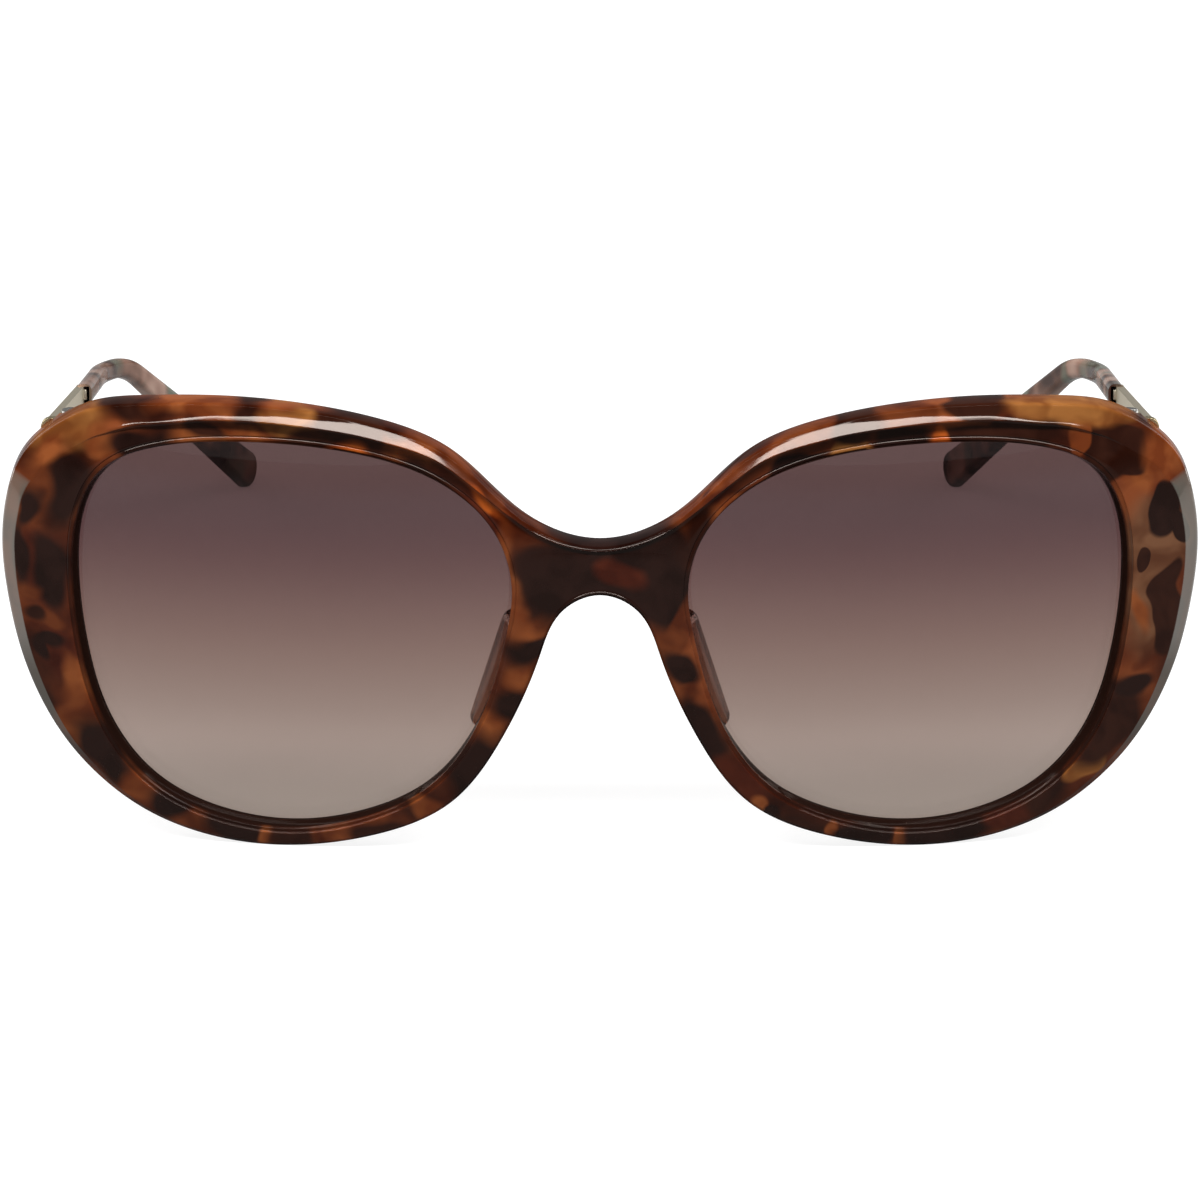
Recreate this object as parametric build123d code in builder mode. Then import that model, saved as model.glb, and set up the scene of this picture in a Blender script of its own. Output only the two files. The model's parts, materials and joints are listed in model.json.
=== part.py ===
from build123d import *
import math
import os

# Oversized sunglasses: a thick acetate front with tinted lenses, and slim metal
# temples that end in acetate tips. Millimetres. +X is the wearer's left, the front
# looks along -Y, +Z is up, and the glasses stand on Z = 0 on both rims and both tips.

# ---- lens openings in the front
opening_width = 53.6
opening_height = 49.1
opening_gap = 22.0          # between the two openings, where they are closest
opening_tilt = 8.0          # degrees each opening is milled towards the temple

# ---- rims and bridge around them
rim_top = 4.4
rim_side = 8.0
rim_bottom = 2.4
bridge_height = 6.0
bridge_rise = 33.3          # middle of the bridge above the foot of the lens openings
front_thickness = 4.4

# ---- curve of the front, seen from above and from the side
base_radius = 120.0
vertical_radius = 140.0
apex_spacing = 50.0         # between the foremost points of the two lens curves
bridge_curve = 56.0
curve_height = 28.0         # height of the foremost point
brow_drop = 6.4             # the sunken lens field's curve sits this much lower
brow_radius = 150.0         # and is this flat from above, so that it fades at the temples
bridge_ridge = 0.5          # brow ridge below the top edge of the bridge

# ---- lenses
lens_thickness = 1.8
lens_setback = 1.9          # front face of the lens behind the face of the front
groove_depth = 0.6
lens_play = 0.05

# ---- nose pads
pad_height = 15.5
pad_width = 3.4
pad_depth = 4.6
pad_splay = 18.0            # degrees
pad_lean = 19.0             # degrees off upright, seen from the front
pad_rise = 19.4             # centre of the pad above the foot of the lens openings
pad_inset = 1.2             # axis of the pad, nosewards of the opening, at the front's face
pad_round = 1.0

# ---- hinges
hinge_inset = 8.3           # pin axis to the widest point of the front
hinge_drop = 8.1            # middle of the hinges below the top of the front
lug_depth = 14.8            # back face of the lug behind the foremost point of the front
lug_width = 6.2
lug_height = 8.2
plate_width = 4.4
plate_height = 6.6
plate_thickness = 1.0
plate_corner = 1.2
plate_shift = 1.3           # centre of the plate, outwards from the pin axis
plate_screw_shift = 2.3     # plate screws, outwards from the pin axis
plate_screw_radius = 0.55
plate_screw_head_radius = 0.85
plate_screw_head_height = 0.4
plate_screw_length = 3.2
plate_screw_spacing = 3.6
knuckle_radius = 1.4
outer_knuckle_height = 1.7
middle_knuckle_height = 2.2
washer_thickness = 0.2
knuckle_gap = 0.3           # between middle and outer knuckle, washer included
pin_radius = 0.65
pin_play = 0.03
pin_head_radius = 1.1
pin_head_height = 0.5
pin_slot_width = 0.35
pin_slot_depth = 0.25
stop_gap = 0.2              # open temple to hinge plate
leaf_thickness = 0.8
leaf_length = 8.0
leaf_height = 1.8

# ---- temples
temple_inset = 5.8          # middle of the tip's straight part to the front's widest point
temple_slope = 11.0         # degrees down to the rear
tip_drop = 33.4             # degrees down, after the bend
tip_toe_in = 17.6           # degrees inwards, after the bend
bend_reach = 106.0          # corner of the bend, behind the foremost point of the front
toe_in_reach = 97.5         # corner of the inward curve
bend_radius = 24.0
toe_in_radius = 43.0
tip_thickness = 2.1
tip_mouth_height = 2.8
tip_bend_height = 2.6
tip_end_height = 5.2
mouth_reach = 68.0          # front end of the tip
tip_round = 0.85
bar_thickness = 1.1
bar_front_height = 3.8
bar_mouth_height = 2.2
mouth_depth = 3.0           # how far the bar's full section goes into the tip
mouth_wall = 0.3            # left on the inner side of the mouth
core_thickness = 0.8
core_height = 1.3
core_short = 12.0           # core ends this far before the middle of the tip's end

# ---- worked out from the above
front_half_width = opening_gap / 2 + opening_width + rim_side
front_height = rim_bottom + opening_height + rim_top
opening_x = (opening_gap + opening_width) / 2
opening_z = rim_bottom + opening_height / 2
bridge_z = rim_bottom + bridge_rise
hinge_x = front_half_width - hinge_inset
hinge_height = front_height - hinge_drop
temple_x = front_half_width - temple_inset
slope = math.tan(math.radians(temple_slope))
drop = math.tan(math.radians(tip_drop))
toe_in = math.tan(math.radians(tip_toe_in))
hinge_reach = lug_depth + plate_thickness + knuckle_radius + knuckle_gap
bend_z = hinge_height - slope * (bend_reach - hinge_reach)
end_z = tip_end_height / 2
end_reach = bend_reach + (bend_z - end_z) / drop
total_depth = end_reach + tip_end_height / 2
nose_rim_sag = (apex_spacing - opening_gap) ** 2 / 8 / base_radius
face_y = -(total_depth + nose_rim_sag) / 2      # foremost point of the front's curve
cutter_start = 15.0         # outlines are drawn this far in front of the front
cutter_length = 50.0
cut_margin = 1.0            # a cut starts this far outside what it cuts
shell_margin = 6.0          # the curved shells reach this far past the front's sides
shell_turn = 22.0           # degrees they reach above and below their foremost point

middle_foot = hinge_height - middle_knuckle_height / 2
middle_top = hinge_height + middle_knuckle_height / 2
lower_foot = middle_foot - knuckle_gap - outer_knuckle_height
upper_foot = middle_top + knuckle_gap
upper_top = upper_foot + outer_knuckle_height
plate_back = face_y + lug_depth + plate_thickness
hinge_y = face_y + hinge_reach
screw_spots = [
    (hinge_x + plate_screw_shift, hinge_height + up * plate_screw_spacing / 2) for up in (-1, 1)
]

# Shape of a lens opening, as shares of its half width and half height.
# -1 is the nose side and the foot.
opening_shape = [
    (-1.000, 0.25), (-0.937, 0.53), (-0.650, 0.83), (-0.260, 0.965),
    (0.200, 1.000), (0.590, 0.955), (0.850, 0.825), (0.963, 0.62),
    (1.000, 0.30), (0.972, -0.07), (0.865, -0.485), (0.640, -0.80),
    (0.320, -0.962), (-0.020, -1.000), (-0.355, -0.920), (-0.585, -0.79),
    (-0.862, -0.38), (-0.975, 0.04),
]
# The front's edge, as shares of its half width and height: from the bridge over the lens
# to the widest point, and from there under the lens to the nose arch.
edge_shape = [
    (0.124, 0.752), (0.247, 0.896), (0.369, 0.962), (0.500, 0.992), (0.625, 1.000),
    (0.755, 0.990), (0.840, 0.970), (0.905, 0.925), (0.964, 0.850), (0.991, 0.757),
    (1.000, 0.652), (0.992, 0.535), (0.964, 0.380), (0.877, 0.180), (0.742, 0.050),
    (0.560, 0.000), (0.377, 0.031), (0.251, 0.108), (0.167, 0.252), (0.099, 0.453),
    (0.066, 0.545),
]
# The brow ridge from the bridge to the outer edge, as shares of half width and height.
ridge_shape = [
    (0.106, 0.739), (0.200, 0.835), (0.281, 0.896), (0.362, 0.935), (0.485, 0.960),
    (0.609, 0.967), (0.700, 0.957), (0.788, 0.932), (0.860, 0.895), (0.885, 0.840),
]


def opening_plane(side):
    """The plane an opening is milled on, turned a little towards its temple."""
    turn = math.radians(opening_tilt)
    return Plane(
        origin=(side * opening_x, face_y, opening_z),
        x_dir=(math.cos(turn), side * math.sin(turn), 0),
        z_dir=(side * math.sin(turn), -math.cos(turn), 0),
    ).offset(cutter_start)


def opening_face(side, grow):
    """The opening's outline on its plane, larger all round by grow."""
    half_width = opening_width / 2 + grow
    half_height = opening_height / 2 + grow
    with BuildSketch(opening_plane(side)) as outline:
        with BuildLine():
            Spline([(side * u * half_width, v * half_height) for u, v in opening_shape], periodic=True)
        make_face()
    return outline.sketch


def half_face(points, start_direction, end_direction, corners):
    """A face on the left half, from a smooth curve closed by a line through corners."""
    with BuildSketch(Plane.XZ.offset(cutter_start - face_y)) as outline:
        with BuildLine():
            Spline(points, tangents=[start_direction, end_direction], tangent_scalars=[1, 1])
            Polyline(points[-1], *corners, points[0])
        make_face()
    return outline.sketch


def scaled(shape):
    """Shares of the front's half width and height, as lengths."""
    return [(u * front_half_width, v * front_height) for u, v in shape]


def front_curve(depth, height=curve_height, lens_radius=base_radius):
    """The shell of the front between depth[0] and depth[1] behind its face."""
    reach = front_half_width + shell_margin
    middle = Plane(origin=(0, face_y + vertical_radius, height)).rotated((-shell_turn, 0, 0))
    lens_centre = (apex_spacing / 2, lens_radius - vertical_radius)
    lean = math.degrees(math.asin(lens_centre[0] / (lens_radius + bridge_curve)))
    bridge_centre_y = lens_centre[1] - (lens_radius + bridge_curve) * math.cos(math.radians(lean))
    with BuildPart() as shell:
        with BuildSketch(middle):
            with BuildLine():
                ends = []
                for d in depth:
                    radius = lens_radius - d
                    sweep_out = math.degrees(math.asin((reach - lens_centre[0]) / radius))
                    lens_arc = CenterArc(lens_centre, radius, 270 - lean, lean + sweep_out)
                    CenterArc((0, bridge_centre_y), bridge_curve + d, 90 - lean, 2 * lean)
                    mirror(lens_arc, about=Plane.YZ)
                    ends.append(lens_arc @ 1)
                closing = Line(*ends)
                mirror(closing, about=Plane.YZ)
            make_face()
        axis = Axis((0, face_y + vertical_radius, height), (1, 0, 0))
        revolve(axis=axis, revolution_arc=2 * shell_turn)
    return shell.part


def export_pair(piece, name):
    """Write the left piece and its mirror image on the right."""
    for side, solid in (("left", piece), ("right", mirror(piece, about=Plane.YZ))):
        solid.label = f"{name}_{side}"
        export_step(solid, f"parts/{name}_{side}.step")


os.makedirs("parts", exist_ok=True)

bridge_top = bridge_z + bridge_height / 2
bridge_foot = bridge_z - bridge_height / 2
front_edge = [(0, bridge_top), *scaled(edge_shape), (0, bridge_foot)]
ridge = [(0, bridge_top - bridge_ridge), *scaled(ridge_shape)]
edge_face = half_face(front_edge, (1, 0), (-1, 0), [])
ridge_face = half_face(ridge, (1, 0), (1, -1), [(ridge[-1][0], opening_z), (0, opening_z)])

# ---- front: one milled acetate piece, made as its left half and mirrored
with BuildPart() as lens_field:
    add(front_curve((-cutter_start, 0), curve_height - brow_drop, brow_radius))
    extrude(ridge_face, amount=-cutter_length, mode=Mode.INTERSECT)

with BuildPart() as groove:
    add(front_curve((lens_setback, lens_setback + lens_thickness)))
    extrude(opening_face(1, groove_depth), amount=-cutter_length, mode=Mode.INTERSECT)

with BuildPart() as lug:
    with BuildSketch(Plane.XZ.offset(-face_y - lug_depth)):
        with Locations((hinge_x + plate_shift, hinge_height)):
            RectangleRounded(lug_width, lug_height, plate_corner)
    extrude(amount=lug_depth)
    add(front_curve((-cutter_start, front_thickness / 2)), mode=Mode.SUBTRACT)

with BuildPart() as frame_front:
    add(front_curve((0, front_thickness)))
    add(lug.part)
    extrude(edge_face, amount=-cutter_length, mode=Mode.INTERSECT)
    add(lens_field.part, mode=Mode.SUBTRACT)
    extrude(opening_face(1, 0), amount=-cutter_length, mode=Mode.SUBTRACT)
    add(groove.part, mode=Mode.SUBTRACT)
    with BuildSketch(Plane.XZ.offset(-plate_back)):
        with Locations(screw_spots):
            Circle(plate_screw_radius)
    extrude(amount=plate_screw_length, mode=Mode.SUBTRACT)
    mirror(about=Plane.YZ)
frame_front.part.label = "frame_front"
export_step(frame_front.part, "parts/frame_front.step")

# ---- lenses: tinted, curved like the front, and held in its grooves
with BuildPart() as lens:
    add(front_curve((lens_setback + lens_play, lens_setback + lens_thickness - lens_play)))
    extrude(opening_face(1, groove_depth - lens_play), amount=-cutter_length, mode=Mode.INTERSECT)
export_pair(lens.part, "lens")

# ---- nose pads: acetate, bonded to the back of the nose rims
pad_turn = math.radians(pad_splay)
pad_plane = Plane(
    origin=(opening_gap / 2 - pad_inset, face_y, rim_bottom + pad_rise),
    x_dir=(-math.cos(pad_turn), math.sin(pad_turn), 0),
    z_dir=(math.sin(pad_turn), math.cos(pad_turn), 0),
)
with BuildPart() as nose_pad:
    with BuildSketch(pad_plane):
        SlotOverall(pad_height, pad_width, rotation=90 - pad_lean)
    extrude(amount=front_thickness + pad_depth)
    fillet(nose_pad.faces().sort_by(Axis.Y)[-1].edges(), radius=pad_round)
    add(front_curve((-cutter_start, front_thickness)), mode=Mode.SUBTRACT)
export_pair(nose_pad.part, "nose_pad")

# ---- hinge plates: screwed to the lugs, each with an upper and a lower knuckle
with BuildPart() as hinge_plate:
    with BuildSketch(Plane.XZ.offset(-face_y - lug_depth)):
        with Locations((hinge_x + plate_shift, hinge_height)):
            RectangleRounded(plate_width, plate_height, plate_corner)
    extrude(amount=-plate_thickness)
    for foot in (lower_foot, upper_foot):
        with BuildSketch(Plane.XY.offset(foot)):
            with Locations((hinge_x, hinge_y)):
                Circle(knuckle_radius)
                Rectangle(2 * knuckle_radius, hinge_y - plate_back, align=(Align.CENTER, Align.MAX))
        extrude(amount=outer_knuckle_height)
    with BuildSketch(Plane.XY.offset(lower_foot)):
        with Locations((hinge_x, hinge_y)):
            Circle(pin_radius + pin_play)
    extrude(amount=upper_top - lower_foot, mode=Mode.SUBTRACT)
    with BuildSketch(Plane.XZ.offset(-plate_back)):
        with Locations(screw_spots):
            Circle(plate_screw_head_radius)
    extrude(amount=plate_screw_head_height, mode=Mode.SUBTRACT)
    with BuildSketch(Plane.XZ.offset(-plate_back)):
        with Locations(screw_spots):
            Circle(plate_screw_radius)
    extrude(amount=plate_thickness, mode=Mode.SUBTRACT)
export_pair(hinge_plate.part, "hinge_plate")

with BuildPart() as plate_screws:
    with BuildSketch(Plane.XZ.offset(-plate_back)):
        with Locations(screw_spots):
            Circle(plate_screw_head_radius)
    extrude(amount=plate_screw_head_height)
    with BuildSketch(Plane.XZ.offset(-plate_back)):
        with Locations(screw_spots):
            Circle(plate_screw_radius)
    extrude(amount=plate_screw_length)
export_pair(plate_screws.part, "plate_screws")

# ---- hinge screws and the nylon washers on them
with BuildPart() as hinge_screw:
    with BuildSketch(Plane.XY.offset(lower_foot)):
        with Locations((hinge_x, hinge_y)):
            Circle(pin_radius)
    extrude(amount=upper_top - lower_foot)
    with BuildSketch(Plane.XY.offset(upper_top)):
        with Locations((hinge_x, hinge_y)):
            Circle(pin_head_radius)
    extrude(amount=pin_head_height)
    with BuildSketch(Plane.XY.offset(upper_top + pin_head_height)):
        with Locations((hinge_x, hinge_y)):
            Rectangle(2 * pin_head_radius, pin_slot_width)
    extrude(amount=-pin_slot_depth, mode=Mode.SUBTRACT)
export_pair(hinge_screw.part, "hinge_screw")

with BuildPart() as hinge_washers:
    for foot in (middle_foot - knuckle_gap, upper_foot - washer_thickness):
        with BuildSketch(Plane.XY.offset(foot)):
            with Locations((hinge_x, hinge_y)):
                Circle(knuckle_radius)
                Circle(pin_radius + pin_play, mode=Mode.SUBTRACT)
        extrude(amount=washer_thickness)
export_pair(hinge_washers.part, "hinge_washers")

# ---- temples: a flat metal bar whose core runs on inside a bent acetate tip
bar_outside = temple_x + tip_thickness / 2
bar_inside = bar_outside - bar_thickness
bar_start = lug_depth + plate_thickness + stop_gap
bar_end = mouth_reach + mouth_depth


def bar_point(reach, share, height):
    """A point of the bar's side view: share is -1 on its lower edge and 1 on its upper."""
    middle = hinge_height - slope * (reach - hinge_reach)
    return (face_y + reach, middle + share * height / 2)


def bent_strip(plane, points, widths, radius, round_end):
    """A strip with one bend on plane, along three points, with a width at each of them."""
    start, corner, end = [Vector(*point) for point in points]
    first = (corner - start).normalized()
    last = (end - corner).normalized()
    half_turn = math.radians(first.get_angle(last) / 2)
    across = [first.rotate(Axis.Z, 90), (first + last).rotate(Axis.Z, 90).normalized()]
    across += [last.rotate(Axis.Z, 90)]
    reach = [widths[0] / 2, widths[1] / 2 / math.cos(half_turn), widths[2] / 2]
    turns_left = first.cross(last).Z > 0
    with BuildSketch(plane) as strip:
        with BuildLine():
            edges = []
            for side in (-1, 1):
                line = [p + side * a * r for p, a, r in zip((start, corner, end), across, reach)]
                inner = (side > 0) == turns_left
                FilletPolyline(*line, radius=radius + (-0.5 if inner else 0.5) * widths[1])
                edges.append(line)
            Line(edges[0][0], edges[1][0])
            if round_end:
                ThreePointArc(edges[0][2], end + last * widths[2] / 2, edges[1][2])
            else:
                Line(edges[0][2], edges[1][2])
        make_face()
    return strip.sketch


def temple_line(start, end, height, thickness, round_end):
    """The side view and the top view of a bent piece of the temple, as two faces."""
    side_points = [bar_point(start, 0, 0), (face_y + bend_reach, bend_z)]
    side_points.append((face_y + end, bend_z - drop * (end - bend_reach)))
    side_view = bent_strip(Plane.YZ, side_points, height, bend_radius, round_end)
    past = total_depth + tip_end_height
    top_points = [(temple_x, face_y + start - cut_margin), (temple_x, face_y + toe_in_reach)]
    top_points.append((temple_x - toe_in * (past - toe_in_reach), face_y + past))
    top_view = bent_strip(Plane.XY, top_points, [thickness] * 3, toe_in_radius, False)
    return side_view, top_view


with BuildPart() as core:
    side_view, top_view = temple_line(
        mouth_reach, end_reach - core_short, [core_height] * 3, core_thickness, False
    )
    extrude(side_view, amount=front_half_width)
    extrude(top_view, amount=front_height, mode=Mode.INTERSECT)

with BuildPart() as temple_bar:
    with BuildSketch(Plane.YZ.offset(bar_inside)):
        with BuildLine():
            Polyline(
                bar_point(bar_start, -1, bar_front_height),
                bar_point(mouth_reach, -1, bar_mouth_height),
                bar_point(bar_end, -1, bar_mouth_height),
                bar_point(bar_end, 1, bar_mouth_height),
                bar_point(mouth_reach, 1, bar_mouth_height),
                bar_point(bar_start, 1, bar_front_height),
                close=True,
            )
        make_face()
    extrude(amount=bar_thickness)
    add(core.part)
export_pair(temple_bar.part, "temple_bar")

with BuildPart() as temple_tip:
    side_view, top_view = temple_line(
        mouth_reach,
        end_reach,
        [tip_mouth_height, tip_bend_height, tip_end_height],
        tip_thickness,
        True,
    )
    extrude(side_view, amount=front_half_width)
    extrude(top_view, amount=front_height, mode=Mode.INTERSECT)
    mouth_face = temple_tip.faces().sort_by(Axis.Y)[0]
    fillet(temple_tip.edges() - mouth_face.edges(), radius=tip_round)
    with BuildSketch(Plane.YZ.offset(temple_x - tip_thickness / 2 + mouth_wall)):
        with BuildLine():
            Polyline(
                bar_point(mouth_reach - cut_margin, -1, bar_mouth_height),
                bar_point(bar_end, -1, bar_mouth_height),
                bar_point(bar_end, 1, bar_mouth_height),
                bar_point(mouth_reach - cut_margin, 1, bar_mouth_height),
                close=True,
            )
        make_face()
    extrude(amount=tip_thickness, mode=Mode.SUBTRACT)
    add(core.part, mode=Mode.SUBTRACT)
export_pair(temple_tip.part, "temple_tip")

# ---- temple hinge leaves: brazed to the inside of the bars, with the middle knuckle
with BuildPart() as temple_leaf:
    with BuildSketch(Plane.XY.offset(middle_foot)):
        with Locations((hinge_x, hinge_y)):
            Circle(knuckle_radius)
            Rectangle(bar_inside - hinge_x, 2 * knuckle_radius, align=(Align.MIN, Align.CENTER))
    extrude(amount=middle_knuckle_height)
    leaf_start = hinge_reach - knuckle_radius
    with BuildSketch(Plane.YZ.offset(bar_inside)):
        with BuildLine():
            Polyline(
                bar_point(leaf_start, -1, leaf_height),
                bar_point(leaf_start + leaf_length, -1, leaf_height),
                bar_point(leaf_start + leaf_length, 1, leaf_height),
                bar_point(leaf_start, 1, leaf_height),
                close=True,
            )
        make_face()
    extrude(amount=-leaf_thickness)
    with BuildSketch(Plane.XY.offset(middle_foot)):
        with Locations((hinge_x, hinge_y)):
            Circle(pin_radius + pin_play)
    extrude(amount=middle_knuckle_height, mode=Mode.SUBTRACT)
export_pair(temple_leaf.part, "temple_leaf")
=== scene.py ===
import json
import math

import bmesh
import bpy
import numpy as np
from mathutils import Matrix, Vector


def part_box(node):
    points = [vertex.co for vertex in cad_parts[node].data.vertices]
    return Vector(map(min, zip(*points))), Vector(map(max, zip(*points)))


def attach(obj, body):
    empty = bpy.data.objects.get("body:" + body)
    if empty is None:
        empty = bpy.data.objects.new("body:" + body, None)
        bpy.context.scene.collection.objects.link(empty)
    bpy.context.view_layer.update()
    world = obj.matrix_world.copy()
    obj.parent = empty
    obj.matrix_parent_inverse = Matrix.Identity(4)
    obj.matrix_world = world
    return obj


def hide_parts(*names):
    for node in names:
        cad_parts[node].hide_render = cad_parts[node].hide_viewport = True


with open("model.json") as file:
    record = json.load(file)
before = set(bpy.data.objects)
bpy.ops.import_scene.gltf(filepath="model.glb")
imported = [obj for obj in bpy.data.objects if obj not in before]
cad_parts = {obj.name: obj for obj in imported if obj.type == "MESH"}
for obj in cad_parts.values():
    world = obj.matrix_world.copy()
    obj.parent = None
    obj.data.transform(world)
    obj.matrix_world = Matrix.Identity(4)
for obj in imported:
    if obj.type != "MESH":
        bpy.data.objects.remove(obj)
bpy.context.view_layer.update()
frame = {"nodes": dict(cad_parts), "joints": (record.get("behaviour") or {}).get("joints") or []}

# Oversized sunglasses: a polished tortoiseshell acetate front, tinted lenses, and slim metal
# temples with acetate tips. Sizes are in millimetres unless they say otherwise.
MM = 0.001

# ---- the front, as its solid has it
half_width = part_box("frame_front")[1].x / MM
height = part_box("frame_front")[1].z / MM
hinge_left = next(joint for joint in frame["joints"] if joint["name"] == "fold_left")
hinge = Vector(hinge_left["pos_m"]) / MM
hinge_reach = 17.5          # pin axis behind the foremost point of the front
face_y = hinge.y - hinge_reach
thickness = 4.4
base_radius = 120.0         # lens curve, seen from above
vertical_radius = 140.0
lens_apex = 25.0            # foremost point of each lens curve, off the middle
bridge_curve = 56.0
curve_height = 28.0
brow_height = 21.6          # the sunken lens field has its own curve
brow_radius = 150.0
field_blend = 0.12          # the two curves run into each other over this much depth
band_blend = 0.10           # and so do the two slopes of the band outside the brow ridge
bridge_top = 38.7
bridge_foot = 32.7
opening_centre = (37.8, 26.95)
opening_half = (26.8, 24.55)
opening_tilt = math.radians(8.0)
facing_centre = (37.8, 35.5)  # edge and opening are paired along rays from here
groove_near = 1.9
groove_far = 3.7
groove_depth = 0.6
lens_near = 1.95            # a little play in the groove
lens_far = 3.65
lens_grow = 0.55            # how far a lens reaches into the groove
lens_round = 0.15
lens_bead = 0.08            # the last flat stretch before the lens's rounded edge
lens_rings = 14

opening_shape = [
    (-1.000, 0.25), (-0.937, 0.53), (-0.650, 0.83), (-0.260, 0.965),
    (0.200, 1.000), (0.590, 0.955), (0.850, 0.825), (0.963, 0.62),
    (1.000, 0.30), (0.972, -0.07), (0.865, -0.485), (0.640, -0.80),
    (0.320, -0.962), (-0.020, -1.000), (-0.355, -0.920), (-0.585, -0.79),
    (-0.862, -0.38), (-0.975, 0.04),
]
# Each point of the front's edge: shares of half width and height, then the width of the
# band outside the brow ridge or facet, how far it falls back, and how steeply it starts.
edge_shape = [
    (0.124, 0.752, 0.5, 0.14, 0.60), (0.247, 0.896, 1.2, 0.56, 0.64),
    (0.369, 0.962, 1.6, 0.98, 0.66), (0.500, 0.992, 1.8, 0.74, 0.66),
    (0.625, 1.000, 1.9, 0.48, 0.66), (0.755, 0.990, 2.4, 0.34, 0.60),
    (0.840, 0.970, 3.0, 0.60, 0.45), (0.905, 0.925, 3.1, 0.90, 0.45),
    (0.964, 0.850, 2.6, 1.10, 0.50), (0.991, 0.757, 2.0, 1.40, 0.66),
    (1.000, 0.652, 1.8, 1.50, 0.72), (0.992, 0.535, 1.7, 1.40, 0.72),
    (0.964, 0.380, 1.55, 1.20, 0.70), (0.877, 0.180, 1.1, 0.80, 0.60),
    (0.742, 0.050, 0.6, 0.30, 0.45), (0.560, 0.000, 0.5, 0.10, 0.40),
    (0.377, 0.031, 0.5, 0.10, 0.40), (0.251, 0.108, 0.5, 0.10, 0.40),
    (0.167, 0.252, 0.5, 0.10, 0.40), (0.099, 0.453, 0.5, 0.10, 0.40),
    (0.066, 0.545, 0.5, 0.10, 0.40),
]
edge_samples = 320
middle_samples = 8
edge_round = 0.45           # outer edges are tumbled round
front_round = edge_round * 0.6  # reach of the rounding on the front's face
opening_round = 0.18        # both edges of the ledge round each opening
ledge_width = 0.5           # milled round the front of each opening
ledge_depth = 0.3
wall_taper = 0.8            # the wall narrows this much down to the lens
wall_steps = (1.0, 0.75, 0.5, 0.25)  # from the groove out to the ledge
brow_foot = 0.30            # foot of the step up to the ridge, inside the ridge's crest
crest_round = 0.06          # the crest is rounded this far into the band
# The step from the field up to the crest: distance inside the crest, and share of its height.
brow_step = [(0.14, 0.08), (0.04, 0.4), (0.02, 0.75), (-0.03, 0.95), (-crest_round, 1.0)]
field_rings = 7
band_rings = 10


def resample(points, values, count, closed=False, ends=((1, 0), (-1, 0))):
    """Even steps along a smooth curve through the points, with values that go along it."""
    points = np.array(points, float)
    values = np.array(values, float)
    if closed:
        points = np.vstack([points, points[:1]])
        values = np.vstack([values, values[:1]])
    last = len(points) - 1
    span = np.linalg.norm(np.diff(points, axis=0), axis=1)
    rise = np.diff(points, axis=0) / span[:, None]
    system = np.eye(last + 1)
    right = np.zeros_like(points)
    right[0], right[last] = ends
    for i in range(0 if closed else 1, last):
        before = span[i - 1]
        after = span[i]
        system[i, (i - 1) % last if closed else i - 1] = after
        system[i, i] = 2 * (before + after)
        system[i, (i + 1) % last if closed else i + 1] = before
        right[i] = 3 * (after * rise[i - 1] + before * rise[i])
    if closed:
        system[last] = 0
        system[last, 0] = 1
        system[last, last] = -1
        right[last] = 0
    slope = np.linalg.solve(system, right)
    steps = np.linspace(0, 1, 60, endpoint=False)[:, None]
    dense = []
    along = []
    for i in range(last):
        dense.append(
            (2 * steps**3 - 3 * steps**2 + 1) * points[i]
            + (steps**3 - 2 * steps**2 + steps) * span[i] * slope[i]
            + (3 * steps**2 - 2 * steps**3) * points[i + 1]
            + (steps**3 - steps**2) * span[i] * slope[i + 1]
        )
        blend = steps * steps * (3 - 2 * steps)
        along.append((1 - blend) * values[i] + blend * values[i + 1])
    dense = np.vstack([*dense, points[-1:]])
    along = np.vstack([*along, values[-1:]])
    length = np.concatenate([[0], np.cumsum(np.linalg.norm(np.diff(dense, axis=0), axis=1))])
    even = np.linspace(0, length[-1], count, endpoint=not closed)
    places = np.column_stack([np.interp(even, length, dense[:, k]) for k in (0, 1)])
    carried = [np.interp(even, length, along[:, k]) for k in range(along.shape[1])]
    return places, np.column_stack(carried)


def shell_y(x, z, depth=0.0, top=curve_height, lens_radius=base_radius):
    """How far back the front's curved shell is at a place, at a depth behind its face."""
    lean = math.asin(lens_apex / (lens_radius + bridge_curve))
    if abs(x) < (bridge_curve + depth) * math.sin(lean):
        centre = lens_radius - (lens_radius + bridge_curve) * math.cos(lean)
        back = centre + math.sqrt((bridge_curve + depth) ** 2 - x * x)
    else:
        back = lens_radius - math.sqrt((lens_radius - depth) ** 2 - (abs(x) - lens_apex) ** 2)
    return face_y + vertical_radius - math.sqrt((vertical_radius - back) ** 2 - (z - top) ** 2)


def field_y(x, z):
    """The face inside the brow ridge: sunken over the lenses, and flush lower down."""
    flush = shell_y(x, z)
    sunk = shell_y(x, z, 0.0, brow_height, brow_radius)
    return max(flush, sunk) + max(field_blend - abs(flush - sunk), 0.0) ** 2 / 4 / field_blend


def towards(share, side, foot, least):
    """How much a place on the opening's rim belongs to its temple side and its foot, 0 to 1."""
    return min(max(0.5 + side * share[0] - foot * share[1], least), 1.0)


def wall_place(share, depth, grow=0.0):
    """A place on the wall of an opening, at a depth behind the front's face."""
    across = share[0] * (opening_half[0] + grow)
    place = Vector((
        opening_centre[0] + across * math.cos(opening_tilt),
        face_y + across * math.sin(opening_tilt),
        opening_centre[1] + share[1] * (opening_half[1] + grow),
    ))
    back = Vector((-math.sin(opening_tilt), math.cos(opening_tilt), 0))
    for _ in range(8):
        place += back * (shell_y(place.x, place.z, depth) - place.y) / back.y
    return place


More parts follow.
